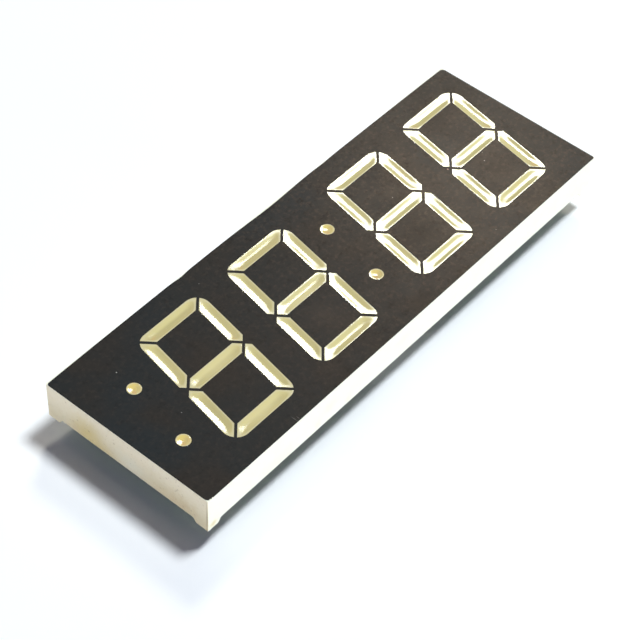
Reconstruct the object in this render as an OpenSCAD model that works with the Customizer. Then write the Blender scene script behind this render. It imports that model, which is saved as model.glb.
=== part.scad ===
// Four-digit seven segment display module, clock type, with two colons.
// A moulded reflector housing holds cast resin windows, a printed face,
// a circuit board with LED dice, and two rows of round pins.
// X runs along the digits, Y towards their tops, Z out of the face.
// The origin is the centre of the seating plane, under the corner feet.

/* [Body] */
// Length along the row of digits
body_l = 120.5; // [119.5:0.5:130]
// Width across the digits
body_w = 40.7; // [40.2:0.1:50]
// Height from the seating plane to the printed face
body_h = 9.3; // [8.3:0.1:14]
// Height of the corner feet below the rim
foot_h = 1.1; // [0.6:0.1:1.6]
// Length of each leg of a foot, at the seating plane
foot_l = 3.0; // [2:0.1:5]
// Extra length of a foot's leg at the rim, from its sloping end
foot_slope = 0.7; // [0.2:0.1:1.5]
// Thickness of the outer walls
wall_t = 1.2; // [0.8:0.1:1.5]
// Radius of the upright edges
edge_r = 0.15; // [0.1:0.05:0.6]
// Draft of each short end, from the face down to the feet
end_draft = 0.25; // [0:0.05:0.4]
// Draft of each long side
side_draft = 0.05; // [0:0.05:0.4]

/* [Digits] */
// Height of a digit, over segments a and d
digit_h = 30.48; // [28:0.02:31]
// Width of a digit across its upright segments
digit_w = 17.85; // [16:0.05:18.5]
// Width of a segment bar
bar_w = 3.04; // [2.6:0.02:3.2]
// Slant of the digits, in degrees
slant = 10.55; // [0:0.05:12]
// Gap between neighbouring segments
bar_gap = 0.58; // [0.4:0.02:0.8]
// Distance between the digits of a pair
digit_pitch = 25; // [24:0.1:25.5]
// Distance between the middle two digits, across the centre colon
colon_pitch = 30.5; // [29.5:0.1:31]
// Offset of the row of digits from the centre of the body, along it
row_shift = 4.75; // [4.2:0.01:4.8]
// Offset of the row of digits across the body
row_rise = -0.1; // [-0.3:0.05:0.3]
// Distance from the first colon to the first digit
first_colon = 15.9; // [15.4:0.05:16]
// Radius of a colon's dot
dot_r = 1.5; // [1:0.1:1.7]
// Height of a dot above or below the middle of the digits
dot_y = 7.5; // [6:0.1:8]

/* [Reflector] */
// Narrowing of a cavity towards the board, on each side
cavity_draft = 0.6; // [0.2:0.05:0.8]
// Thickness of the wall round a cavity
cell_wall = 0.9; // [0.6:0.05:1]
// Thickness of the face plate between the cavities
plate_t = 1; // [0.8:0.1:1.5]
// Thickness of the face print
print_t = 0.08; // [0.05:0.01:0.15]
// Distance of the print inside the edges of the face plate
print_edge = 0.04; // [0.02:0.01:0.1]
// Depth to which the resin has sunk in the middle of a window
sink = 0.1; // [0.05:0.01:0.2]

/* [Board] */
// Thickness of the circuit board
board_t = 1.6; // [1:0.1:1.6]
// Distance of the board inside the rim
board_in = 0.8; // [0.5:0.1:1]
// Gap round the board's edge, filled by the seal
board_gap = 0.15; // [0.1:0.05:0.3]
// Width of the seal's fillet on the board
seal_w = 0.8; // [0.5:0.1:1]
// Height of the seal's fillet up the wall
seal_rise = 0.6; // [0.3:0.05:0.65]
// Side of an LED die
die_w = 0.4; // [0.3:0.05:0.5]
// Height of an LED die
die_h = 0.2; // [0.15:0.05:0.3]

/* [Pins] */
// Diameter of a pin
pin_d = 0.5; // [0.4:0.05:0.6]
// Distance between neighbouring pins
pin_pitch = 2.54; // [2.54:2.54:5.08]
// Distance between the two rows of pins
row_pitch = 33.02; // [32.9:0.01:33.4]
// Number of pins in a row
pins_per_row = 7; // [7]
// Length of a pin below the seating plane
pin_drop = 4.8; // [3:0.1:6]
// Diameter of a pin's tapered shank under its head
shank_d = 0.7; // [0.6:0.02:0.7]
// Diameter of a pin's head, inside the housing
head_d = 1.1; // [0.9:0.1:1.2]
// Thickness of a pin's head
head_t = 0.3; // [0.2:0.05:0.5]
// Radius of a pin's hole in the board
hole_r = 0.4; // [0.38:0.01:0.42]
// Radius of a solder joint on the board
joint_r = 0.75; // [0.6:0.05:0.85]
// Reach of a solder joint along the pin
joint_rise = 0.6; // [0.3:0.05:0.65]

/* [Hidden] */
SEGMENTS = ["a", "b", "c", "d", "e", "f", "g"];
DIGITS = [1:4];
COLONS = [1:2];
PINS = [1:2 * pins_per_row];
function dot_name(c, side) = str("colon_", c, side > 0 ? "_upper_dot" : "_lower_dot");

$fn = 32;
tiny = 0.01;

// Levels above the seating plane
rim_z = foot_h;
board_z = rim_z + board_in;
cell_z = board_z + board_t;
face_z = body_h - print_t;
plate_z = face_z - plate_t;

// Half sizes of a digit, over all and inside its bars
half_w = digit_w / 2;
half_h = digit_h / 2;
in_w = half_w - bar_w;
in_h = half_h - bar_w;
// Where the mitres of the middle bar's tip meet, on the digit's middle line
tip_in = 0.35;
tip_x = half_w - bar_w * tip_in;
// Height at which an upright bar's outer corner is cut off, near the middle
blunt = 0.1;
cut_y = bar_w / 2 - blunt;

digit_x = [
    row_shift - colon_pitch / 2 - digit_pitch,
    row_shift - colon_pitch / 2,
    row_shift + colon_pitch / 2,
    row_shift + colon_pitch / 2 + digit_pitch
];
colon_x = [digit_x[0] - first_colon, row_shift];

// ---- Outlines -------------------------------------------------------------

function unit(v) = v / norm(v);
function backwards(p) = [for (i = [len(p) - 1:-1:0]) p[i]];
function turned(p) = [for (q = p) -q];
function flipped(p) = [for (q = backwards(p)) [-q.x, q.y]];
function leant(p, s) = [p.x + tan(s) * p.y, p.y];
function across(u) = [u.y, -u.x];
function cross_z(u, v) = u.x * v.y - u.y * v.x;
// Where the line through p along u meets the line through q along v
function meet(p, u, q, v) = p + u * cross_z(q - p, v) / cross_z(u, v);
function arc(c, r, from, to, n = 5) =
    [for (i = [0:n]) let (t = from + (to - from) * i / n) c + r * [cos(t), sin(t)]];

// A bar's outline leans by s degrees and stands m inside its opening. The bars
// are mitred at a digit's corners, and rounded there about the inner corner.
function corner(s) = leant([-in_w, in_h], s);
function mitre(s) = unit(leant([-1, 1], s));
function mitre_turn(s) = atan2(mitre(s).y, mitre(s).x);
function gap_turn(m, r) = asin((bar_gap / 2 + m) / (r - m));

// The left end of the top bar, from its inner corner round to the top edge
function bar_end(m, s) =
    let (c = corner(s), u = mitre(s), start = c + across(u) * (bar_gap / 2 + m))
    concat(
        [meet(start, u, c + [0, m], [1, 0])],
        arc(c, bar_w - m, mitre_turn(s) - gap_turn(m, bar_w), 90)
    );

function top_bar(m) = backwards(concat(bar_end(m, slant), flipped(bar_end(m, -slant))));

// The upper left bar, anticlockwise from its inner top corner
function upright_bar(m, s) =
    let (
        c = corner(s),
        u = mitre(s),
        side = unit(leant([0, 1], s)),
        rise = unit(leant([1, 1], s)),
        r = bar_w * cos(s),
        start = c - across(u) * (bar_gap / 2 + m),
        outer = leant([-half_w, 0], s) + across(side) * m,
        inner = c - across(side) * m,
        short_cut = leant([-half_w, cut_y], s) + across(u) * m,
        long_cut = leant([-tip_x, 0], s) - across(rise) * (bar_gap / 2 + m)
    )
    concat(
        [meet(start, u, inner, side)],
        arc(c, r - m, mitre_turn(s) + gap_turn(m, r), 180 - s),
        [
            meet(outer, side, short_cut, u),
            meet(short_cut, u, long_cut, rise),
            meet(long_cut, rise, inner, side)
        ]
    );

// The left half of the middle bar, anticlockwise
function middle_half(m) =
    let (
        rise = unit(leant([1, 1], slant)),
        fall = mitre(slant),
        top = [0, bar_w / 2 - m],
        tip = leant([-tip_x, 0], slant),
        upper = tip + across(rise) * (bar_gap / 2 + m),
        lower = tip + across(fall) * (bar_gap / 2 + m)
    )
    [
        meet(upper, rise, top, [1, 0]),
        meet(upper, rise, lower, fall),
        meet(lower, fall, -top, [1, 0])
    ];

function outline(s, m) =
    s == "a" ? top_bar(m) :
    s == "b" ? flipped(upright_bar(m, -slant)) :
    s == "c" ? turned(upright_bar(m, slant)) :
    s == "d" ? turned(top_bar(m)) :
    s == "e" ? turned(flipped(upright_bar(m, -slant))) :
    s == "f" ? upright_bar(m, slant) :
    concat(middle_half(m), turned(middle_half(m)));

// The places of a bar's two LED dice, on its middle line. The dice divide a
// level bar, and an upright one, at these shares of its half length.
level_share = 0.45;
upright_share = 0.4;
function die_places(s) =
    let (
        x = half_w - bar_w / 2,
        y = half_h - bar_w / 2,
        up = search(s, "abf") != [] ? 1 : search(s, "cde") != [] ? -1 : 0,
        right = search(s, "bc") != [] ? 1 : search(s, "ef") != [] ? -1 : 0
    )
    [for (side = [-1, 1]) leant(
        right == 0
            ? [side * x * level_share, up * y]
            : [right * x, (up + side * upright_share) * y / 2],
        slant
    )];

function rounded_rectangle(l, w, r) =
    let (x = l / 2 - r, y = w / 2 - r)
    concat(
        arc([-x, -y], r, 180, 270, 4),
        arc([x, -y], r, 270, 360, 4),
        arc([x, y], r, 0, 90, 4),
        arc([-x, y], r, 90, 180, 4)
    );

function rectangle(l, w) = [[-l, -w] / 2, [l, -w] / 2, [l, w] / 2, [-l, w] / 2];

// The print stops short of the top edge. It draws in towards both ends, and
// dips at three places: each dip is [where, half width, depth].
end_gap = 0.25;
dips = [[-23.3, 1.8, 0.22], [3, 8.5, 0.33], [20, 2.5, 0.12]];
function dip(d, x) = d[2] * exp(-pow((x - d[0]) / d[1], 2));
function top_gap(x) =
    print_edge + end_gap * pow(abs(2 * x / body_l), 3)
    + dip(dips[0], x) + dip(dips[1], x) + dip(dips[2], x);

// The radius to which each corner of the print has worn, anticlockwise from
// the lower left, and the nicks beside that corner
worn = [0.9, 0.35, 0.9, 0.5];
nicks = [[0.75, 0.2], [0.95, 0], [1.3, 0.15], [1.5, 0]];
function print_outline() =
    let (x = body_l / 2 - print_edge, y = body_w / 2 - print_edge, top = body_w / 2 - top_gap(x))
    concat(
        arc([worn[0] - x, worn[0] - y], worn[0], 180, 240, 3),
        [for (n = nicks) [n.x - x, n.y - y]],
        arc([x - worn[1], worn[1] - y], worn[1], 270, 360, 3),
        arc([x - worn[2], top - worn[2]], worn[2], 0, 90, 4),
        [for (at = [x - 2:-1:2 - x]) [at, body_w / 2 - top_gap(at)]],
        arc([worn[3] - x, top - worn[3]], worn[3], 90, 180, 4)
    );

// ---- Shared shapes --------------------------------------------------------

// A closed skin over rings of points, from the lowest to the innermost
module loft(rings, levels) {
    n = len(rings[0]);
    last = len(rings) - 1;
    polyhedron(
        points = [for (i = [0:last]) for (p = rings[i]) [p.x, p.y, levels[i]]],
        faces = concat(
            [[for (j = [0:n - 1]) j]],
            [for (i = [0:last - 1]) for (j = [0:n - 1]) let (k = (j + 1) % n)
                [i * n + j, (i + 1) * n + j, (i + 1) * n + k]],
            [for (i = [0:last - 1]) for (j = [0:n - 1]) let (k = (j + 1) % n)
                [i * n + j, (i + 1) * n + k, i * n + k]],
            [[for (j = [n - 1:-1:0]) last * n + j]]
        )
    );
}

module at_digit(k) {
    translate([digit_x[k - 1], row_rise, 0]) children();
}

module at_dot(c, side) {
    translate([colon_x[c - 1] + tan(slant) * dot_y * side, row_rise + dot_y * side, 0])
        children();
}

module each_dot() {
    for (c = COLONS, side = [-1, 1]) at_dot(c, side) children();
}

// Where the pins stand, numbered anticlockwise from the lower left
function pin_at(p) =
    let (row = p <= pins_per_row ? -1 : 1, i = (p - 1) % pins_per_row)
    [-row * (i - (pins_per_row - 1) / 2) * pin_pitch, row * row_pitch / 2];

module block(points, z0, z1) {
    translate([0, 0, z0]) linear_extrude(height = z1 - z0) polygon(points);
}

recess = rectangle(body_l - 2 * wall_t, body_w - 2 * wall_t);
board = rectangle(
    body_l - 2 * (wall_t + board_gap), body_w - 2 * (wall_t + board_gap));

// ---- The housing ----------------------------------------------------------

// A segment's cavity, or the block that its wall is cut from, out by w
module bar_cell(s, w, top) {
    slope = cavity_draft / (face_z - cell_z);
    loft(
        [outline(s, cavity_draft - w), outline(s, slope * (face_z - top) - w)],
        [cell_z, top]
    );
}

// The same for a dot
module dot_cell(w, top) {
    slope = cavity_draft / (face_z - cell_z);
    translate([0, 0, cell_z])
        cylinder(
            h = top - cell_z,
            r1 = dot_r - cavity_draft + w,
            r2 = dot_r - slope * (face_z - top) + w
        );
}

// The hollow behind the face plate, round the walls of the cavities
module hollow() {
    difference() {
        block(recess, cell_z - tiny, plate_z);
        for (k = DIGITS) at_digit(k) for (s = SEGMENTS) bar_cell(s, cell_wall, face_z);
        each_dot() dot_cell(cell_wall, face_z);
    }
}

// The relief in the rim between two feet, for a wall of length l along X
module rim_relief(l) {
    x0 = l / 2 - foot_l;
    x1 = x0 - foot_slope;
    rotate([90, 0, 0]) linear_extrude(height = body_l + body_w, center = true)
        polygon([[-x0, -1], [x0, -1], [x0, 0], [x1, foot_h], [-x1, foot_h], [-x0, 0]]);
}

// The moulding's outer sides, which draw in from the face down
module outside() {
    loft(
        [
            rounded_rectangle(body_l - 2 * end_draft, body_w - 2 * side_draft, edge_r),
            rounded_rectangle(body_l, body_w, edge_r)
        ],
        [0, face_z]
    );
}

module housing() {
    color([0.93, 0.91, 0.84]) difference() {
        outside();
        block(recess, -1, cell_z);
        hollow();
        for (k = DIGITS) at_digit(k) for (s = SEGMENTS) bar_cell(s, 0, face_z);
        each_dot() dot_cell(0, face_z);
        rim_relief(body_l);
        rotate([0, 0, 90]) rim_relief(body_w);
    }
}

// ---- The printed face -----------------------------------------------------

module face_print() {
    color([0.17, 0.17, 0.17]) translate([0, 0, face_z]) linear_extrude(height = print_t)
        difference() {
            polygon(print_outline());
            for (k = DIGITS) at_digit(k) for (s = SEGMENTS) polygon(outline(s, 0));
            each_dot() circle(r = dot_r);
        }
}

// ---- The cast resin windows -----------------------------------------------

// The sunk surface is set out in steps inwards from a window's edge. It is
// level at the edge and along the middle, and steepest between them.
dish_steps = 5;
dish_in = 0.3;
dish = [for (i = [1:dish_steps]) bar_w * dish_in * i / dish_steps];
function sunk(m) = sink * pow(1 - pow(1 - 2 * m / bar_w, 2), 2);

module die() {
    translate([-die_w / 2, -die_w / 2, cell_z]) cube([die_w, die_w, die_h]);
}

module bar_window(k, s) {
    margins = concat([cavity_draft, 0], dish);
    levels = concat([cell_z, face_z], [for (m = dish) face_z - sunk(m)]);
    color([0.8, 0.76, 0.52]) at_digit(k) difference() {
        loft([for (m = margins) outline(s, m)], levels);
        for (p = die_places(s)) translate(p) die();
    }
}

module dot_window(c, side) {
    color([0.83, 0.72, 0.46]) at_dot(c, side) difference() {
        rotate_extrude() polygon(concat(
            [[0, cell_z], [dot_r - cavity_draft, cell_z], [dot_r, face_z]],
            [for (m = dish) [dot_r - m, face_z - sunk(m)]],
            [[0, face_z - sink]]
        ));
        die();
    }
}

// ---- The board and what is soldered to it ---------------------------------

module circuit_board() {
    color([0.2, 0.42, 0.26]) difference() {
        block(board, board_z, cell_z);
        for (p = PINS) translate(concat(pin_at(p), board_z - 1))
            cylinder(h = board_t + 2, r = hole_r);
    }
}

module digit_leds(k) {
    color([0.85, 0.8, 0.5]) at_digit(k)
        for (s = SEGMENTS, p = die_places(s)) translate(p) die();
}

module colon_leds() {
    color([0.85, 0.8, 0.5]) each_dot() die();
}

// A bead of resin fills the gap round the board and rises up the wall
module edge_seal() {
    l = body_l - 2 * wall_t;
    w = body_w - 2 * wall_t;
    color([0.86, 0.83, 0.7]) difference() {
        block(recess, board_z - seal_rise, cell_z);
        block(board, board_z, cell_z + 1);
        loft(
            [rectangle(l + 2 * seal_w, w + 2 * seal_w), rectangle(l - 2 * seal_w, w - 2 * seal_w)],
            [board_z - 2 * seal_rise, board_z]
        );
    }
}

// A pin is a nail: its head lies on the board, and its shank fills the hole
module pin(p) {
    color([0.78, 0.77, 0.74]) translate(pin_at(p)) rotate_extrude() polygon([
        [0, -pin_drop],
        [pin_d / 4, -pin_drop],
        [pin_d / 2, pin_d / 4 - pin_drop],
        [pin_d / 2, board_z],
        [shank_d / 2, cell_z],
        [head_d / 2, cell_z],
        [head_d / 2, cell_z + head_t],
        [0, cell_z + head_t]
    ]);
}

// Solder fills what is left of a hole, and hollows in to the pin below it
module solder_joints() {
    color([0.72, 0.72, 0.72]) for (p = PINS) translate(pin_at(p)) rotate_extrude()
        polygon(concat(
            [[hole_r, cell_z], [hole_r, board_z]],
            [for (t = [0:15:90]) [
                joint_r - (joint_r - pin_d / 2) * sin(t),
                board_z - joint_rise * (1 - cos(t))
            ]],
            [[pin_d / 2, board_z], [shank_d / 2, cell_z]]
        ));
}

// ---- The nodes ------------------------------------------------------------

housing();
face_print();
circuit_board();
edge_seal();
solder_joints();
colon_leds();
for (k = DIGITS) {
    digit_leds(k);
    for (s = SEGMENTS)
        bar_window(k, s);
}
for (c = COLONS, side = [-1, 1])
    dot_window(c, side);
for (p = PINS)
    pin(p);
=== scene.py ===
"""A four-digit seven segment display module with two colons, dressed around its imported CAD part.

The file follows the module as it is put together: housing, face print, resin windows, colon dots,
circuit board, LED dice, edge seal, pins and solder. The table, the lamps and the camera come last.
Lengths are written as millimetres times mm. Plain ones are millimetres too, where a comment
says so, and colours are linear.
"""

import math

import bmesh
import bpy
import numpy as np
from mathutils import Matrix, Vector, geometry


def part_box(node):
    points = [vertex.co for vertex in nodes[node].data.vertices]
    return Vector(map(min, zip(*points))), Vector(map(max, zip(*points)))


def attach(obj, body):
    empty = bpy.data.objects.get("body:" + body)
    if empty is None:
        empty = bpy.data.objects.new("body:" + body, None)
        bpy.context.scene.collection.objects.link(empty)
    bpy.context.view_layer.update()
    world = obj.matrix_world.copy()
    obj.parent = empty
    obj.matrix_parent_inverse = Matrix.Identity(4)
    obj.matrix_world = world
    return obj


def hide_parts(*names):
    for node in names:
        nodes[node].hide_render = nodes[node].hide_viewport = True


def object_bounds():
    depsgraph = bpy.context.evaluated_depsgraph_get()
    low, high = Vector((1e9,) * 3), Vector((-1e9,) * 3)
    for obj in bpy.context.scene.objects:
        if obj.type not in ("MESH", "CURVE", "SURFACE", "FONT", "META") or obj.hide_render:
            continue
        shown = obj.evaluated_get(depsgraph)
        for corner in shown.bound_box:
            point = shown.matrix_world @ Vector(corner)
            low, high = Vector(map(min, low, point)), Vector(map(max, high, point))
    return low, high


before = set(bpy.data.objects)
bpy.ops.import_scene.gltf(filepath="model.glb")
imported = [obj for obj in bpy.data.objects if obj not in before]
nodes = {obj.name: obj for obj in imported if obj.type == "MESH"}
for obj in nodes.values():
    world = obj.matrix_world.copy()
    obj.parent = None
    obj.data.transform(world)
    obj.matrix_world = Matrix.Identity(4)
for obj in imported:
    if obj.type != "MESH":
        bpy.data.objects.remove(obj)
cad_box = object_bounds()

mm = 0.001

# ---- The housing ----------------------------------------------------------------------------
# One moulding in white filled plastic, which reflects the light of the dice out of its cavities.
# It comes from the mould with a fine matt texture, and age has yellowed it, most along the rim
# of the end by the first colon.

HOUSING_WHITE = (0.88, 0.87, 0.71, 1)
HOUSING_DULL = (0.76, 0.73, 0.62, 1)
END_CREAM = (0.82, 0.74, 0.56, 1)
END_TAN_AND_SHADE = (0.68, 0.60, 0.41, 1)
STAIN_YELLOW = (0.66, 0.53, 0.24, 1)
STAIN_AND_SHADE_BROWN = (0.60, 0.46, 0.26, 1)
CLEAN_GREY = (0.74, 0.71, 0.58, 1)
FLECK_AND_SHADE_BROWN = (0.33, 0.24, 0.14, 1)
housing_low, housing_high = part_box("housing")
# The end by the first colon and the long side by its lower dot, in millimetres
NEAR_END = housing_low.x / mm + 0.05
LONG_SIDE = housing_low.y / mm


def put(tree, kind, **settings):
    """A node of a tree, with its properties and the values of its inputs."""
    made = tree.nodes.new("ShaderNode" + kind)
    for name, value in settings.items():
        if hasattr(made, name):
            setattr(made, name, value)
        else:
            made.inputs[name.replace("_", " ")].default_value = value
    return made


def join(tree, out, socket):
    """Links an output to the input that takes its value."""
    tree.links.new(out, socket)


def effect(name, inputs, outputs):
    """An empty node group with named inputs and outputs, and its two end nodes."""
    tree = bpy.data.node_groups.new(name, "ShaderNodeTree")
    for title, kind, value in inputs:
        socket = tree.interface.new_socket(title, in_out="INPUT", socket_type="NodeSocket" + kind)
        if value is not None:
            socket.default_value = value
    for title, kind in outputs:
        tree.interface.new_socket(title, in_out="OUTPUT", socket_type="NodeSocket" + kind)
    return tree, tree.nodes.new("NodeGroupInput"), tree.nodes.new("NodeGroupOutput")


def place(tree, group, **values):
    """A group in a material, with the values of its inputs."""
    made = tree.nodes.new("ShaderNodeGroup")
    made.node_tree = group
    for name, value in values.items():
        made.inputs[name.replace("_", " ")].default_value = value
    return made


def noise(tree, where, scale, detail=3.0, roughness=0.5):
    """Cloudy values from 0 to 1, about scale clouds to the metre."""
    made = put(tree, "TexNoise", Scale=scale, Detail=detail, Roughness=roughness)
    join(tree, where, made.inputs["Vector"])
    return made.outputs[0]


def ramp(tree, value, low, high, to_low=0.0, to_high=1.0):
    """Maps a value from low..high to to_low..to_high, smoothly."""
    made = put(tree, "MapRange", interpolation_type="SMOOTHSTEP")
    join(tree, value, made.inputs["Value"])
    for name, number in (("From Min", low), ("From Max", high), ("To Min", to_low), ("To Max", to_high)):
        made.inputs[name].default_value = number
    return made.outputs["Result"]


def maths(tree, operation, a, b=0.0):
    """The result of a sum, each side of it a number or the output of a node."""
    made = put(tree, "Math", operation=operation)
    for socket, value in zip(made.inputs, (a, b)):
        if isinstance(value, (int, float)):
            socket.default_value = value
        else:
            join(tree, value, socket)
    return made.outputs["Value"]


def blend(tree, share, a, b):
    """Mixes two colours, each a colour value or the output of a node."""
    made = put(tree, "Mix", data_type="RGBA")
    for socket, value in ((made.inputs[0], share), (made.inputs[6], a), (made.inputs[7], b)):
        if isinstance(value, (int, float, tuple)):
            socket.default_value = value
        else:
            join(tree, value, socket)
    return made.outputs[2]


def split(tree, vector):
    """The X, Y and Z of a place or a direction."""
    made = put(tree, "SeparateXYZ")
    join(tree, vector, made.inputs["Vector"])
    return made.outputs


def material(name, **settings):
    """A material with its tree, its one Principled shader and the place on the piece."""
    made = bpy.data.materials.new(name)
    made.use_nodes = True
    tree = made.node_tree
    shader = tree.nodes["Principled BSDF"]
    for title, value in settings.items():
        shader.inputs[title.replace("_", " ")].default_value = value
    return made, tree, shader, put(tree, "TexCoord").outputs["Object"]


def dress(piece, finish):
    """Gives a piece its material."""
    piece.data.materials.clear()
    piece.data.materials.append(finish)


# Fine flecks: a share of the cells of a Voronoi pattern, each a small dot in its cell
flecks, start, end = effect(
    "flecks",
    [
        ("Vector", "Vector", None),
        ("Cell", "Float", 1.0),
        ("Size", "Float", 0.1),
        ("Share", "Float", 0.3),
    ],
    [("Mask", "Float")],
)
per_cell = maths(flecks, "DIVIDE", 1.0, start.outputs["Cell"])
cells = put(flecks, "TexVoronoi", feature="F1")
join(flecks, start.outputs["Vector"], cells.inputs["Vector"])
join(flecks, per_cell, cells.inputs["Scale"])
dot = maths(flecks, "LESS_THAN", cells.outputs["Distance"], start.outputs["Size"])
pick = put(flecks, "SeparateColor")
join(flecks, cells.outputs["Color"], pick.inputs["Color"])
chosen = maths(flecks, "LESS_THAN", pick.outputs["Red"], start.outputs["Share"])
join(flecks, maths(flecks, "MULTIPLY", dot, chosen), end.inputs["Mask"])

# Grain: the fine relief of a moulded, printed or cast surface, as a bumped normal
grain, start, end = effect(
    "grain",
    [
        ("Vector", "Vector", None),
        ("Scale", "Float", 1000.0),
        ("Detail", "Float", 4.0),
        ("Depth", "Float", 0.01 * mm),
        ("Normal", "Vector", None),
    ],
    [("Normal", "Vector")],
)
fine = put(grain, "TexNoise", Roughness=0.6)
for title in ("Vector", "Scale", "Detail"):
    join(grain, start.outputs[title], fine.inputs[title])
relief = put(grain, "Bump", Strength=1.0)
join(grain, fine.outputs[0], relief.inputs["Height"])
join(grain, start.outputs["Depth"], relief.inputs["Distance"])
join(grain, start.outputs["Normal"], relief.inputs["Normal"])
join(grain, relief.outputs["Normal"], end.inputs["Normal"])


def roughen(tree, shader, where, normal=None, **values):
    """Gives a shader the fine relief of its surface, over a normal of its own if there is one."""
    skin = place(tree, grain, **values)
    join(tree, where, skin.inputs["Vector"])
    if normal:
        join(tree, normal, skin.inputs["Normal"])
    join(tree, skin.outputs["Normal"], shader.inputs["Normal"])


def vary_gloss(tree, shader, where, scale, low, high):
    """Lets a shader's roughness drift between two values, in clouds of the given scale."""
    join(tree, ramp(tree, noise(tree, where, scale), 0.3, 0.7, low, high), shader.inputs["Roughness"])


# A stain, scuff or clean place: a mask that fades out, more or less raggedly, round a centre
stain, start, end = effect(
    "stain",
    [
        ("Vector", "Vector", None),
        ("Centre", "Vector", None),
        ("Reach", "Vector", None),
        ("Ragged", "Float", 0.5),
        ("Strength", "Float", 1.0),
    ],
    [("Mask", "Float")],
)
away = put(stain, "VectorMath", operation="SUBTRACT")
join(stain, start.outputs["Vector"], away.inputs[0])
join(stain, start.outputs["Centre"], away.inputs[1])
share = put(stain, "VectorMath", operation="DIVIDE")
join(stain, away.outputs[0], share.inputs[0])
join(stain, start.outputs["Reach"], share.inputs[1])
size = put(stain, "VectorMath", operation="LENGTH")
join(stain, share.outputs[0], size.inputs[0])
uneven = maths(stain, "SUBTRACT", noise(stain, start.outputs["Vector"], 900.0, 5.0, 0.65), 0.5)
uneven = maths(stain, "MULTIPLY", uneven, start.outputs["Ragged"])
faded = ramp(stain, maths(stain, "ADD", size.outputs["Value"], uneven), 1.0, 0.0)
join(stain, maths(stain, "MULTIPLY", faded, start.outputs["Strength"]), end.inputs["Mask"])


def mark(tree, where, tone, colour, centre, reach, strength, ragged):
    """Adds a stain of a colour to a tone, its centre and reach in millimetres."""
    made = place(tree, stain, Ragged=ragged, Strength=strength)
    made.inputs["Centre"].default_value = [c * mm for c in centre]
    made.inputs["Reach"].default_value = [r * mm for r in reach]
    join(tree, where, made.inputs["Vector"])
    return blend(tree, made.outputs["Mask"], tone, colour)


housing_plastic, tree, shader, where = material(
    "housing_plastic",
    Roughness=0.5,
    IOR=1.5,
    Subsurface_Weight=0.12,
    Subsurface_Scale=0.0015,
    Subsurface_Radius=(1.0, 0.8, 0.5),
)
parts = split(tree, where)
facing = split(tree, put(tree, "TexCoord").outputs["Normal"])

# The long sides are white, a little dull in faint clouds
clouds = ramp(tree, noise(tree, where, 220.0, 4.0, 0.6), 0.4, 0.75, 0.0, 0.22)
tone = blend(tree, clouds, HOUSING_WHITE, HOUSING_DULL)

# Both ends are yellowed, and tanner towards the feet: partly real yellowing, partly painted shade of the
# shadowed floor below them
swing = maths(tree, "MULTIPLY", noise(tree, where, 240.0, 4.0, 0.6), 4.0 * mm)
height = ramp(tree, maths(tree, "ADD", parts["Z"], swing), 3.2 * mm, 10.6 * mm)
endways = ramp(tree, maths(tree, "ABSOLUTE", facing["X"]), 0.5, 0.9)
from_middle = maths(tree, "ABSOLUTE", parts["X"])
outer = ramp(tree, from_middle, housing_high.x - 1.25 * mm, housing_high.x - 0.85 * mm)
ends = maths(tree, "MULTIPLY", endways, outer)
tone = blend(tree, ends, tone, blend(tree, height, END_TAN_AND_SHADE, END_CREAM))

# Stains, with centre and reach in millimetres, strength and raggedness: on the end by the first
# colon and along the long side by its lower dot, and painted shade down the corners of that end
for colour, centre, reach, strength, ragged in (
    (STAIN_YELLOW, (NEAR_END, 9.7, 2.6), (1.5, 6.4, 6.8), 0.95, 0.5),
    (STAIN_YELLOW, (NEAR_END, 5.5, 1.2), (1.5, 5.0, 2.6), 0.5, 0.8),
    (STAIN_AND_SHADE_BROWN, (NEAR_END, -12.5, 1.2), (1.5, 8.5, 5.6), 0.42, 1.2),
    (STAIN_AND_SHADE_BROWN, (NEAR_END, -14.8, 3.0), (1.5, 3.4, 3.4), 0.3, 1.6),
    (STAIN_AND_SHADE_BROWN, (NEAR_END, 13.2, 2.4), (1.5, 1.6, 2.6), 0.3, 1.2),
    (CLEAN_GREY, (NEAR_END, -1.2, 3.2), (1.5, 5.2, 3.6), 0.75, 0.6),
    # Painted shade: dark lines down both upright corners of that end, where the rounded edges turn away
    # from the light
    (FLECK_AND_SHADE_BROWN, (NEAR_END + 0.05, LONG_SIDE + 0.27, 2.5), (0.7, 0.3, 9.5), 0.8, 0.3),
    (STAIN_AND_SHADE_BROWN, (NEAR_END - 0.05, -LONG_SIDE, 4.0), (0.3, 0.4, 7.5), 0.4, 0.6),
    (STAIN_YELLOW, (-58.6, LONG_SIDE, 1.1), (1.7, 1.0, 1.4), 0.7, 1.0),
    (STAIN_YELLOW, (-29.2, LONG_SIDE, 2.4), (1.8, 1.0, 1.8), 0.16, 0.8),
    (STAIN_YELLOW, (-25.5, LONG_SIDE, 5.2), (3.4, 1.0, 2.4), 0.1, 0.8),
    (STAIN_YELLOW, (-40.0, LONG_SIDE, 2.4), (8.0, 1.0, 3.0), 0.1, 0.8),
    (STAIN_YELLOW, (-20.2, LONG_SIDE, 2.2), (1.6, 1.0, 1.6), 0.16, 0.8),
    (STAIN_YELLOW, (-3.0, LONG_SIDE, 5.6), (4.0, 1.0, 2.2), 0.07, 0.8),
):
    tone = mark(tree, where, tone, colour, centre, reach, strength, ragged)

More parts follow.
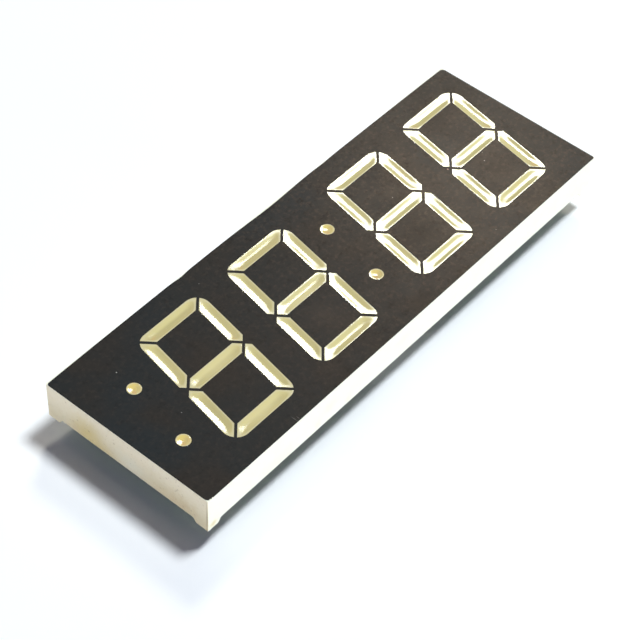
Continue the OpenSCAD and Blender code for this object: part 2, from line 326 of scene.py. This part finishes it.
# Dark specks and two short scratches on the same end: place and size in millimetres, strength
for y, z, size, strength in (
    (9.5, 4.1, 0.36, 0.6), (3.0, 6.0, 0.38, 0.5), (12.4, 5.0, 0.4, 0.45), (15.2, 8.0, 0.36, 0.45),
    (13.6, 3.7, 0.34, 0.35), (5.6, 3.6, 0.3, 0.35), (-16.2, 2.7, 0.32, 0.55), (-17.0, 2.2, 0.34, 0.55),
    (-12.7, 8.8, 0.3, 0.4), (-10.2, 7.2, 0.36, 0.35), (-12.9, 6.1, 0.3, 0.6), (-12.6, 5.6, 0.34, 0.6),
    (-12.3, 5.1, 0.3, 0.55), (-8.6, 2.8, 0.34, 0.4), (-14.2, 2.2, 0.36, 0.4), (8.6, 2.1, 0.3, 0.4),
):
    tone = mark(tree, where, tone, FLECK_AND_SHADE_BROWN, (NEAR_END, y, z), (0.8, size, size), strength, 0.4)

# Fine speckle everywhere, browner on the ends, and a paler line under the print
speckle = ramp(tree, noise(tree, where, 1500.0, 4.0, 0.7), 0.5, 0.72, 0.0, 0.2)
browner = maths(tree, "ADD", maths(tree, "MULTIPLY", ends, 0.75), 0.25)
tone = blend(tree, maths(tree, "MULTIPLY", speckle, browner), tone, STAIN_AND_SHADE_BROWN)
specks = place(tree, flecks, Cell=1.1 * mm, Size=0.16, Share=0.3)
join(tree, where, specks.inputs["Vector"])
darker = maths(tree, "ADD", maths(tree, "MULTIPLY", ends, 0.2), 0.06)
tone = blend(tree, maths(tree, "MULTIPLY", specks.outputs["Mask"], darker), tone, FLECK_AND_SHADE_BROWN)
under_print = ramp(tree, parts["Z"], housing_high.z - 0.37 * mm, housing_high.z - 0.12 * mm, 0.0, 0.35)
tone = blend(tree, under_print, tone, HOUSING_WHITE)
join(tree, tone, shader.inputs["Base Color"])
vary_gloss(tree, shader, where, 500.0, 0.42, 0.58)
edges = put(tree, "Bevel", samples=4, Radius=0.05 * mm)
roughen(tree, shader, where, edges.outputs["Normal"], Scale=2600.0, Depth=0.012 * mm)
dress(nodes["housing"], housing_plastic)

# ---- The face print -------------------------------------------------------------------------
# A screen printed field of black satin ink that masks the face between the windows. It stops
# just inside the edges, and it is rubbed, scratched and nicked from handling.

INK_BLACK = (0.0195, 0.0225, 0.0235, 1)
INK_WARM = (0.026, 0.024, 0.022, 1)
INK_COOL = (0.018, 0.0235, 0.0265, 1)
INK_BROWN_AND_SHEEN = (0.052, 0.042, 0.035, 1)
INK_DARK = (0.007, 0.0085, 0.009, 1)
DUST_GREY = (0.5, 0.48, 0.45, 1)
DUST_WHITE = (0.8, 0.78, 0.72, 1)
NICK_PINK = (0.62, 0.38, 0.30, 1)
GLOSS_WARM = (1.0, 0.66, 0.44, 1)
face_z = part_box("face_print")[1].z / mm  # in millimetres

face_ink, tree, shader, where = material(
    "face_ink", IOR=1.5, Specular_IOR_Level=0.036, Specular_Tint=GLOSS_WARM
)
warm = ramp(tree, noise(tree, where, 70.0, 3.0), 0.4, 0.68)
cool = ramp(tree, noise(tree, where, 45.0, 2.0), 0.5, 0.75)
tone = blend(tree, cool, blend(tree, warm, INK_BLACK, INK_WARM), INK_COOL)
parts = split(tree, where)

# Brown and dark mottling, and dust all over. The mottling is partly real, and it grows towards the
# fourth digit as painted sheen of the round lamp's warm reflection
worn_and_sheen = ramp(tree, parts["X"], -45 * mm, 25 * mm, 0.33, 0.95)
mottle = ramp(tree, noise(tree, where, 1100.0, 4.0, 0.7), 0.46, 0.72)
tone = blend(tree, maths(tree, "MULTIPLY", mottle, worn_and_sheen), tone, INK_BROWN_AND_SHEEN)
mottle = ramp(tree, noise(tree, where, 640.0, 4.0, 0.7), 0.5, 0.28)
tone = blend(tree, maths(tree, "MULTIPLY", mottle, worn_and_sheen), tone, INK_DARK)
dust = place(tree, flecks, Cell=3.2 * mm, Size=0.035, Share=0.2)
join(tree, where, dust.inputs["Vector"])
tone = blend(tree, maths(tree, "MULTIPLY", dust.outputs["Mask"], 0.35), tone, DUST_GREY)

# A few rubbed and clean patches, and the nicks, specks and scratches that stand out: place and
# reach in millimetres, and strength
for colour, x, y, wide, long, strength in (
    (INK_BROWN_AND_SHEEN, -12.0, -7.5, 6.5, 7.5, 0.4),
    (INK_DARK, 18.7, -7.5, 6.5, 7.5, 0.5),
    (INK_DARK, 55.0, 13.0, 7.0, 8.0, 0.4),
    (INK_DARK, 4.0, -18.5, 5.0, 3.0, 0.4),
    (NICK_PINK, 36.35, 0.1, 0.2, 0.3, 0.9),
    (DUST_WHITE, 43.6, -3.95, 0.16, 0.16, 0.9),
    (DUST_WHITE, 22.1, 3.35, 0.13, 0.13, 0.7),
    (DUST_WHITE, -49.4, 12.5, 0.13, 0.2, 0.8),
    (DUST_GREY, -48.3, -3.0, 0.12, 0.2, 0.6),
    (DUST_GREY, -35.4, -19.4, 0.07, 1.1, 0.3),
    (DUST_GREY, -34.7, -19.7, 0.06, 0.7, 0.3),
):
    tone = mark(tree, where, tone, colour, (x, y, face_z), (wide, long, 1.0), strength, 0.4)
join(tree, tone, shader.inputs["Base Color"])

# Handling has polished it along the module, less so across it, with smears
smeared = ramp(tree, noise(tree, where, 230.0, 6.0, 0.75), 0.3, 0.7, -0.032, 0.032)
along = ramp(tree, parts["X"], -16 * mm, 34 * mm, 0.29, 0.2)
across = ramp(tree, parts["Y"], 0.0, 20 * mm, 0.0, 0.022)
rubbed = maths(tree, "ADD", along, across)
join(tree, maths(tree, "ADD", rubbed, smeared), shader.inputs["Roughness"])
roughen(tree, shader, where, Scale=3800.0, Depth=0.006 * mm)
dress(nodes["face_print"], face_ink)

# ---- The windows ----------------------------------------------------------------------------
# Each bar of a digit is a cavity filled with milky, pale khaki casting resin. As it cured, the
# resin sank to a shallow trough, level at the rim and again along the middle of the bar.

RESIN_KHAKI = (0.545, 0.463, 0.19, 1)
RESIN_TAN = (0.585, 0.45, 0.205, 1)
RESIN_DARK = (0.47, 0.395, 0.17, 1)
RIM_GLINT_PALE = (0.72, 0.63, 0.38, 1)
LIT_WALL_PALE = (0.68, 0.59, 0.26, 1)
SHADED_TIP_ORANGE = (0.66, 0.42, 0.16, 1)
PATCH_PALE = (0.76, 0.65, 0.33, 1)
BUBBLE_PALE = (0.8, 0.76, 0.5, 1)
GLOSS_COOL = (0.82, 0.91, 1.0, 1)
LAYER_SCALE = (150.0, 150.0, 60000.0)
window_rim_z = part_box("digit_1_segment_a")[1].z
# Patches where some bars are painted paler or darker: place and reach in millimetres, and strength
BAR_PATCHES = (
    (PATCH_PALE, (-35.5, -0.1), (8.5, 2.4), 0.5),
    (PATCH_PALE, (-38.0, -13.8), (8.5, 2.4), 0.5),
    (PATCH_PALE, (-11.0, -0.9), (8.5, 2.2), 0.75),
    (RESIN_DARK, (-44.6, -7.0), (3.2, 7.5), 0.6),
)
RESIN_SINK = 0.104 * mm
# What share of that the bars of each digit have sunk, from a to g: the first two digits were
# filled almost alike, the last two less evenly
FILL_SHARES = (
    (1.0, 1.0, 1.0, 1.0, 1.0, 1.0, 1.0),
    (0.98, 1.0, 1.0, 1.0, 1.0, 1.0, 0.97),
    (0.97, 0.87, 0.85, 0.97, 0.94, 0.9, 0.95),
    (1.0, 1.12, 1.26, 1.17, 0.95, 0.91, 1.01),
)
MESH_STEP = 0.12 * mm
ROW_STEP = MESH_STEP * math.sqrt(0.75)
RIM_GAP = 0.55 * MESH_STEP
WELD_GAP = 0.002 * mm
CAD_DISH_DEEP = 0.5 * mm


def sink_shares(points, triangles, rim_count):
    """How far each point has sunk, from 0 at the rim to 1 in the middle.

    It is how far a pressed membrane would give there, squared, so that the rim stays level.
    """
    count = len(points)
    stiffness = np.zeros((count, count))
    load = np.zeros(count)
    for a, b, c in triangles:
        p = points[[a, b, c]]
        side = np.array([p[2] - p[1], p[0] - p[2], p[1] - p[0]])
        area = abs(side[0][0] * side[1][1] - side[0][1] * side[1][0]) / 2
        stiffness[np.ix_([a, b, c], [a, b, c])] += side @ side.T / (4 * area)
        load[[a, b, c]] += area / 3
    free = np.arange(rim_count, count)
    share = np.zeros(count)
    share[free] = np.linalg.solve(stiffness[np.ix_(free, free)], load[free])
    return (share / share.max()) ** 2


def open_window(node):
    """A CAD window copied without its top, its rim cut into short steps, and the rim in order."""
    shape = bmesh.new()
    shape.from_mesh(nodes[node].data)
    bmesh.ops.remove_doubles(shape, verts=shape.verts, dist=WELD_GAP)
    rim_z = max(v.co.z for v in shape.verts)
    top = [f for f in shape.faces if min(v.co.z for v in f.verts) > rim_z - CAD_DISH_DEEP]
    bmesh.ops.delete(shape, geom=top, context="FACES")
    for edge in [e for e in shape.edges if e.is_boundary]:
        cuts = int(edge.calc_length() / MESH_STEP)
        if cuts:
            bmesh.ops.subdivide_edges(shape, edges=[edge], cuts=cuts)
    rim = [next(v for v in shape.verts if v.is_boundary)]
    while True:
        ahead = [e.other_vert(rim[-1]) for e in rim[-1].link_edges if e.is_boundary]
        if len(rim) > 1:
            ahead = [v for v in ahead if v not in rim[-2:] and v is not rim[0]]
        if not ahead:
            break
        rim.append(ahead[0])
    return shape, rim


def clear_points(outline, points, gap):
    """The points that lie inside the outline, at least gap from it."""
    inside = np.zeros(len(points), bool)
    clear = np.ones(len(points), bool)
    for start, end in zip(outline, np.roll(outline, -1, axis=0)):
        along = end - start
        share = np.clip((points - start) @ along / (along @ along), 0, 1)
        clear &= np.linalg.norm(start + share[:, None] * along - points, axis=1) > gap
        if start[1] != end[1]:
            crossing = start[0] + (points[:, 1] - start[1]) / along[1] * along[0]
            inside ^= ((start[1] > points[:, 1]) != (end[1] > points[:, 1])) & (points[:, 0] < crossing)
    return points[inside & clear]


def fill_with_resin(shape, rim):
    """Closes an open window with its sunk surface."""
    outline = [v.co.xy for v in rim]
    low = Vector((min(p.x for p in outline), min(p.y for p in outline)))
    high = Vector((max(p.x for p in outline), max(p.y for p in outline)))
    inner = []
    for row in range(1, int((high.y - low.y) / ROW_STEP) + 1):
        for column in range(int((high.x - low.x) / MESH_STEP) + 1):
            inner.append((low.x + (column + row % 2 / 2) * MESH_STEP, low.y + row * ROW_STEP))
    inner = [Vector(p) for p in clear_points(np.array(outline), np.array(inner), RIM_GAP)]
    ring = list(range(len(outline)))
    points, _, faces, *_ = geometry.delaunay_2d_cdt(outline + inner, [], [ring], 1, 0.0001 * mm)
    share = sink_shares(np.array([p[:] for p in points]), faces, len(outline))
    rim_z = rim[0].co.z
    corners = rim + [
        shape.verts.new((p.x, p.y, rim_z - RESIN_SINK * s))
        for p, s in zip(points[len(outline):], share[len(outline):])
    ]
    for face in faces:
        shape.faces.new([corners[i] for i in face]).smooth = True
    bmesh.ops.recalc_face_normals(shape, faces=shape.faces)
    for vertex in rim:
        for edge in vertex.link_edges:
            if len(edge.link_faces) == 2 and edge.link_faces[0].smooth != edge.link_faces[1].smooth:
                edge.smooth = False


def cast_piece(name, node, mesh, finish):
    """A piece of resin from its mesh, which stands for a CAD node."""
    piece = bpy.data.objects.new(name, mesh)
    bpy.context.scene.collection.objects.link(piece)
    dress(piece, finish)
    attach(piece, "root")
    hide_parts(node)


def resin(name, tone, tint, lit_wall, patches):
    """Cast resin: milky inside, glossy, with painted reflection along the rim, painted light where it
    leans to the lit wall and painted shade towards the dark one.
    """
    made, tree, shader, where = material(
        name,
        IOR=1.5,
        Specular_Tint=GLOSS_COOL,
        Subsurface_Weight=0.25,
        Subsurface_Scale=0.0008,
        Subsurface_Radius=(1.0, 0.8, 0.35),
    )
    drift = ramp(tree, noise(tree, where, 120.0, 2.0), 0.35, 0.7, 0.0, 0.35)
    mixed = blend(tree, drift, tone, tint)
    layers = put(tree, "VectorMath", operation="MULTIPLY")
    layers.inputs[1].default_value = LAYER_SCALE
    join(tree, where, layers.inputs[0])
    streaks = ramp(tree, noise(tree, layers.outputs[0], 1.0, 2.0), 0.35, 0.65, 0.0, 0.5)
    mixed = blend(tree, streaks, mixed, RESIN_DARK)
    lean = split(tree, put(tree, "TexCoord").outputs["Normal"])
    # Painted light: paler where the surface leans towards the lamp-lit cavity wall, which shows through
    # the milky resin
    mixed = blend(tree, ramp(tree, lean["Y"], 0.055, -0.085), mixed, lit_wall)
    # Painted shade: more orange near the cavity's unlit corner, where the dark wall shows through the
    # resin
    shaded_tip = maths(tree, "MINIMUM", lean["X"], lean["Y"])
    mixed = blend(tree, ramp(tree, shaded_tip, 0.015, 0.06, 0.0, 0.7), mixed, SHADED_TIP_ORANGE)
    for colour, (x, y), (wide, long), strength in patches:
        centre = (x, y, window_rim_z / mm)
        mixed = mark(tree, where, mixed, colour, centre, (wide, long, 5.0), strength, 0.2)
    height = split(tree, where)["Z"]
    # Painted reflection: paler along the rim, where the resin's edge reflects more light
    rim = ramp(tree, height, window_rim_z - 0.022 * mm, window_rim_z, 0.0, 0.62)
    mixed = blend(tree, rim, mixed, RIM_GLINT_PALE)
    bubbles = place(tree, flecks, Cell=0.9 * mm, Size=0.07, Share=0.2)
    join(tree, where, bubbles.inputs["Vector"])
    mixed = blend(tree, maths(tree, "MULTIPLY", bubbles.outputs["Mask"], 0.3), mixed, BUBBLE_PALE)
    join(tree, mixed, shader.inputs["Base Color"])
    vary_gloss(tree, shader, where, 700.0, 0.045, 0.065)
    roughen(tree, shader, where, Scale=300.0, Detail=1.0, Depth=0.0018 * mm)
    return made


window_resin = resin("window_resin", RESIN_KHAKI, RESIN_TAN, LIT_WALL_PALE, BAR_PATCHES)
for letter, segment in enumerate("abcdefg"):
    first = "digit_1_segment_" + segment
    shape, rim = open_window(first)
    fill_with_resin(shape, rim)
    for digit, shares in enumerate(FILL_SHARES, 1):
        node = f"digit_{digit}_segment_{segment}"
        mesh = bpy.data.meshes.new(node)
        shape.to_mesh(mesh)
        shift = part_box(node)[0].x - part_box(first)[0].x
        fill = shares[letter]
        for vertex in mesh.vertices:
            vertex.co.x += shift
            if vertex.co.z > window_rim_z - 2 * RESIN_SINK:
                vertex.co.z = window_rim_z - (window_rim_z - vertex.co.z) * fill
        cast_piece(f"digit_{digit}_window_{segment}", node, mesh, window_resin)
    shape.free()

# ---- The colon dots -------------------------------------------------------------------------
# Four round cavities, two to a colon, filled like the bars from above. Their resin is the same
# kind, of a slightly deeper, more orange tone, and it has sunk to a shallow dish.

DOT_TAN = (0.68, 0.52, 0.18, 1)
DOT_AMBER = (0.66, 0.44, 0.16, 1)
DOT_LIT_WALL = (0.76, 0.58, 0.17, 1)

dot_resin = resin("dot_resin", DOT_TAN, DOT_AMBER, DOT_LIT_WALL, ())
for colon in (1, 2):
    for side in ("upper", "lower"):
        node = f"colon_{colon}_{side}_dot"
        shape, rim = open_window(node)
        fill_with_resin(shape, rim)
        mesh = bpy.data.meshes.new(node)
        shape.to_mesh(mesh)
        shape.free()
        cast_piece(f"colon_{colon}_{side}_window", node, mesh, dot_resin)

# ---- The circuit board ----------------------------------------------------------------------
# Glass-epoxy laminate, etched on both sides and coated with green solder mask. It carries the
# dice on its hidden face. On the outer one the copper tracks stand out a little under the mask.

MASK_GREEN = (0.018, 0.115, 0.045, 1)
MASK_DEEP = (0.03, 0.155, 0.065, 1)
WEAVE_GREEN = (0.045, 0.19, 0.085, 1)
COPPER_GREEN = (0.055, 0.27, 0.095, 1)
COPPER_OLIVE = (0.085, 0.31, 0.10, 1)
FLUX_AMBER = (0.16, 0.13, 0.04, 1)
TRACK_HIGH = 0.035 * mm
VIA_HIGH = 0.05 * mm
# The layout of the tracks, in millimetres from the middle of the board
TRACK_WIDE = 0.4
VIA_RADIUS = 0.45
VIA_HOLE = 0.15
PIN_PITCH = 2.54
LANE_FIRST, LANE_STEP = 14.0, 1.5
NEAR_VIA, NEAR_STEP = 14.0, 2.2
FAR_VIA, FAR_STEP = 49.0, 5.5
INWARD_TRACK = ((0.0, 9.0), (1.5, 7.5), (1.5, 5.0))
MIDDLE_STEP, MIDDLE_SHIFT = 1.8, 1.6
board_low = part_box("circuit_board")[0].z


def middle(node):
    """The middle of a CAD node's box, in millimetres."""
    low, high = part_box(node)
    return (low + high).xy / 2 / mm


pin_places = [middle(f"pin_{number}") for number in range(1, 15)]
digit_places = [middle(f"digit_{digit}_segment_g").x for digit in range(1, 5)]


def strip(path):
    """The outline of a track along a path of points, its corners mitred."""
    left, right = [], []
    for before, here, after in zip(path[:1] + path, path, path[1:] + path[-1:]):
        arriving = (here - before).normalized()
        leaving = (after - here).normalized()
        along = (arriving + leaving).normalized()
        reach = TRACK_WIDE / 2 / max(along.dot(arriving), along.dot(leaving))
        side = Vector((-along.y, along.x)) * reach
        left.append(here + side)
        right.append(here - side)
    return left + right[::-1]


def circle(centre, radius, steps=24):
    """The outline of a round pad or hole."""
    turns = [2 * math.pi * step / steps for step in range(steps)]
    return [centre + radius * Vector((math.cos(turn), math.sin(turn))) for turn in turns]


def raise_copper(shape, height, outline, hole=()):
    """Adds copper of an outline to the board's underside: its outer face and the walls round it."""
    rings = []
    for loop in filter(None, (outline, hole)):
        foot = [shape.verts.new((p.x * mm, p.y * mm, board_low)) for p in loop]
        crest = [shape.verts.new((p.x * mm, p.y * mm, board_low - height)) for p in loop]
        for i in range(len(loop)):
            shape.faces.new((foot[i - 1], foot[i], crest[i], crest[i - 1]))
        rings.append(crest)
    if hole:
        for i in range(len(hole)):
            shape.faces.new((rings[0][i - 1], rings[0][i], rings[1][i], rings[1][i - 1]))
    else:
        shape.faces.new(rings[0])


def lay_track(shape, path, vias):
    """A track with vias at the given points of its path."""
    path = [Vector(point) for point in path]
    raise_copper(shape, TRACK_HIGH, strip(path))
    for via in vias:
        raise_copper(shape, VIA_HIGH, circle(path[via], VIA_RADIUS), circle(path[via], VIA_HOLE))


# The tracks fan out from the pins, the outer pins' along the lanes nearest to the row, and run
# to vias under the digits. The middle pins' go inwards, and others join the digits.
shape = bmesh.new()
for pin in pin_places:
    row = math.copysign(1, pin.y)
    rank = round((max(p.x for p in pin_places) - abs(pin.x)) / PIN_PITCH)
    lane = row * (LANE_FIRST - LANE_STEP * rank)
    start = pin - Vector((0, row * 0.5))
    if abs(pin.x) < 1:
        lay_track(shape, [start, *[(row * x, row * y) for x, y in INWARD_TRACK]], [3])
        continue
    out = math.copysign(1, pin.x)
    bend = [(pin.x, lane + row), (pin.x + out, lane)]
    near = out * (NEAR_VIA + NEAR_STEP * rank)
    far = out * (FAR_VIA - FAR_STEP * rank)
    lay_track(shape, [start, *bend, (near, lane), (far - out, lane), (far, lane - row)], [3, 5])
for lane in range(-2, 3):
    y = MIDDLE_STEP * lane
    ends = [x + MIDDLE_SHIFT * lane for x in digit_places]
    lay_track(shape, [(ends[0], y - 0.9), (ends[0] + 0.9, y), *[(x, y) for x in ends[1:]]], [0, 2, 3, 4])
bmesh.ops.recalc_face_normals(shape, faces=shape.faces)
mesh = bpy.data.meshes.new("board_tracks")
shape.to_mesh(mesh)
shape.free()
board_tracks = bpy.data.objects.new("board_tracks", mesh)
bpy.context.scene.collection.objects.link(board_tracks)
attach(board_tracks, "root")


def mask_coat(name, tone, deep, fibre):
    """Glossy solder mask, with the weave of the glass just showing and flux round the joints."""
    made, tree, shader, where = material(name, IOR=1.5, Coat_Weight=0.4, Coat_Roughness=0.12)
    mixed = blend(tree, ramp(tree, noise(tree, where, 90.0), 0.35, 0.65), tone, deep)
    for direction in ("X", "Y"):
        weave = put(tree, "TexWave", bands_direction=direction, Scale=420.0, Distortion=0.6, Detail=1.0)
        join(tree, where, weave.inputs["Vector"])
        mixed = blend(tree, maths(tree, "MULTIPLY", weave.outputs[1], fibre), mixed, WEAVE_GREEN)
    folded = put(tree, "VectorMath", operation="ABSOLUTE")
    join(tree, where, folded.inputs[0])
    for pin in pin_places[:7]:
        spill = place(tree, stain, Ragged=1.1, Strength=0.55)
        spill.inputs["Centre"].default_value = (abs(pin.x) * mm, abs(pin.y) * mm, board_low)
        spill.inputs["Reach"].default_value = (1.7 * mm, 1.7 * mm, 1.0 * mm)
        join(tree, folded.outputs[0], spill.inputs["Vector"])
        mixed = blend(tree, spill.outputs["Mask"], mixed, FLUX_AMBER)
    join(tree, mixed, shader.inputs["Base Color"])
    vary_gloss(tree, shader, where, 600.0, 0.28, 0.42)
    roughen(tree, shader, where, Scale=1500.0, Depth=0.004 * mm)
    return made


board_laminate = mask_coat("board_laminate", MASK_GREEN, MASK_DEEP, 0.12)
mask_on_copper = mask_coat("mask_on_copper", COPPER_GREEN, COPPER_OLIVE, 0.05)
dress(nodes["circuit_board"], board_laminate)
dress(board_tracks, mask_on_copper)

# ---- The LED dice ---------------------------------------------------------------------------
# Two sawn dice of gallium compound behind each bar and one behind each dot, bonded to the board
# and buried in the resin.

DIE_OLIVE = (0.6, 0.5, 0.22, 1)
DIE_STRAW = (0.75, 0.66, 0.34, 1)

led_die, tree, shader, where = material("led_die", Roughness=0.35, IOR=1.6)
tone = blend(tree, noise(tree, where, 4000.0), DIE_OLIVE, DIE_STRAW)
join(tree, tone, shader.inputs["Base Color"])
for node in [f"digit_{digit}_leds" for digit in range(1, 5)] + ["colon_leds"]:
    dress(nodes[node], led_die)

# ---- The edge seal --------------------------------------------------------------------------
# A bead of clear yellowish epoxy that fills the gap between the board and the housing. It is
# run round by hand, wets both, and holds the board in when it has cured.

SEAL_AMBER = (0.62, 0.55, 0.32, 1)
SEAL_PALE = (0.72, 0.66, 0.44, 1)

seal_resin, tree, shader, where = material(
    "seal_resin", Roughness=0.18, IOR=1.52, Subsurface_Weight=0.2, Subsurface_Scale=0.001
)
tone = blend(tree, ramp(tree, noise(tree, where, 200.0), 0.3, 0.7), SEAL_AMBER, SEAL_PALE)
join(tree, tone, shader.inputs["Base Color"])
roughen(tree, shader, where, Scale=400.0, Depth=0.08 * mm)
dress(nodes["edge_seal"], seal_resin)

# ---- The pins and their solder --------------------------------------------------------------
# Fourteen tinned copper wire pins with flattened heads, pressed through the board and soldered
# on its outer side.

TIN_WARM = (0.68, 0.66, 0.62, 1)
TIN_BRIGHT = (0.82, 0.81, 0.78, 1)
SOLDER_GREY = (0.62, 0.62, 0.6, 1)
SOLDER_BRIGHT = (0.8, 0.8, 0.78, 1)

pin_metal, tree, shader, where = material("pin_metal", Metallic=1.0)
tone = blend(tree, ramp(tree, noise(tree, where, 1500.0), 0.35, 0.7), TIN_WARM, TIN_BRIGHT)
join(tree, tone, shader.inputs["Base Color"])
vary_gloss(tree, shader, where, 2500.0, 0.2, 0.4)
roughen(tree, shader, where, Scale=3000.0, Depth=0.01 * mm)
for number in range(1, len(pin_places) + 1):
    dress(nodes[f"pin_{number}"], pin_metal)

solder, tree, shader, where = material("solder", Metallic=1.0)
tone = blend(tree, noise(tree, where, 900.0), SOLDER_GREY, SOLDER_BRIGHT)
join(tree, tone, shader.inputs["Base Color"])
vary_gloss(tree, shader, where, 1200.0, 0.12, 0.34)
roughen(tree, shader, where, Scale=1200.0, Depth=0.02 * mm)
dress(nodes["solder_joints"], solder)

# ---- The table, the lamps and the camera ----------------------------------------------------
# The module stands on its pins on a white table, in a white room. One lamp hangs high over it,
# a round one shines in its windows from behind, and two weak ones light the sides that show.

TABLE_SIZE = 6.0
TABLE_WHITE = (0.96, 0.96, 0.965, 1)
ROOM_WHITE = (1, 1, 1, 1)
ROOM_SHADE = (0.8, 0.83, 1.9, 1)
LIGHT_COOL = (0.945, 1.015, 1.06)
LIGHT_WARM = (1.0, 0.96, 0.8)
LIGHT_CREAM = (1.0, 0.97, 0.85)
LIGHT_BLUE = (0.94, 1.0, 1.08)
ROUND_DIRECTION = (0.603, 0.364, 0.710)
ROUND_DISCS = (0.46, 0.57, 0.70)
ROUND_POWER = 21.3
# The camera's place and lens in millimetres, and its turns in degrees
CAMERA_PLACE = (-228.048, -167.507, 310.884)
CAMERA_TURN = (41.526, -2.892, -49.975)
CAMERA_LENS = 117.693
CAMERA_SENSOR = 36.0

bpy.ops.mesh.primitive_plane_add(size=TABLE_SIZE, location=(0, 0, cad_box[0].z))
table = bpy.context.object
table.name = "table"
table_white, *_ = material(
    "table_white", Base_Color=TABLE_WHITE, Roughness=0.9, Specular_IOR_Level=0.1
)
table.data.materials.append(table_white)

# The room is white to the camera and in reflections, and lends the shadows a little blue light
world = bpy.data.worlds.new("studio")
bpy.context.scene.world = world
world.use_nodes = True
tree = world.node_tree
tree.nodes.clear()
seen = put(tree, "LightPath")
direct = maths(tree, "MAXIMUM", seen.outputs["Is Camera Ray"], seen.outputs["Is Glossy Ray"])
direct = maths(tree, "MAXIMUM", direct, seen.outputs["Is Transmission Ray"])
surround = put(tree, "Background", Color=ROOM_SHADE, Strength=0.04)
backdrop = put(tree, "Background", Color=ROOM_WHITE, Strength=1.0)
either = put(tree, "MixShader")
join(tree, direct, either.inputs[0])
join(tree, surround.outputs[0], either.inputs[1])
join(tree, backdrop.outputs[0], either.inputs[2])
join(tree, either.outputs[0], put(tree, "OutputWorld").inputs["Surface"])


def lamp(name, towards, distance, size, power, colour=(1, 1, 1)):
    """A round lamp that shines on the module from the given direction."""
    data = bpy.data.lights.new(name, "AREA")
    data.shape = "DISK"
    data.size = size
    data.energy = power
    data.color = colour
    made = bpy.data.objects.new(name, data)
    bpy.context.scene.collection.objects.link(made)
    direction = Vector(towards).normalized()
    made.location = direction * distance
    made.rotation_euler = direction.to_track_quat("Z", "Y").to_euler()


lamp("high_lamp", (4.55, -2.2, 14.1), 3.0, 0.7, 79.0, LIGHT_COOL)
# The round lamp is brightest in the middle: discs of one brightness, each wider and further off,
# with a faint glow round them
for disc, size in enumerate(ROUND_DISCS):
    power = ROUND_POWER * size**2
    lamp(f"round_lamp_{disc}", ROUND_DIRECTION, 3.0 + 0.02 * disc, size, power, LIGHT_WARM)
lamp("round_lamp_glow", (0.600, 0.350, 0.719), 3.1, 0.84, 3.2, LIGHT_CREAM)
lamp("side_lamp", (-0.1, -1.0, 0.045), 1.2, 0.1, 7.8, LIGHT_BLUE)
lamp("end_lamp", (-1.0, -0.1, 0.045), 1.2, 0.1, 3.6)

camera_data = bpy.data.cameras.new("camera")
camera_data.sensor_width = CAMERA_SENSOR
camera_data.lens = CAMERA_LENS
camera_data.clip_start = 0.01
camera = bpy.data.objects.new("camera", camera_data)
bpy.context.scene.collection.objects.link(camera)
camera.location = Vector(CAMERA_PLACE) * mm
camera.rotation_euler = [math.radians(turn) for turn in CAMERA_TURN]
bpy.context.scene.camera = camera
bpy.context.scene.view_settings.view_transform = "Standard"
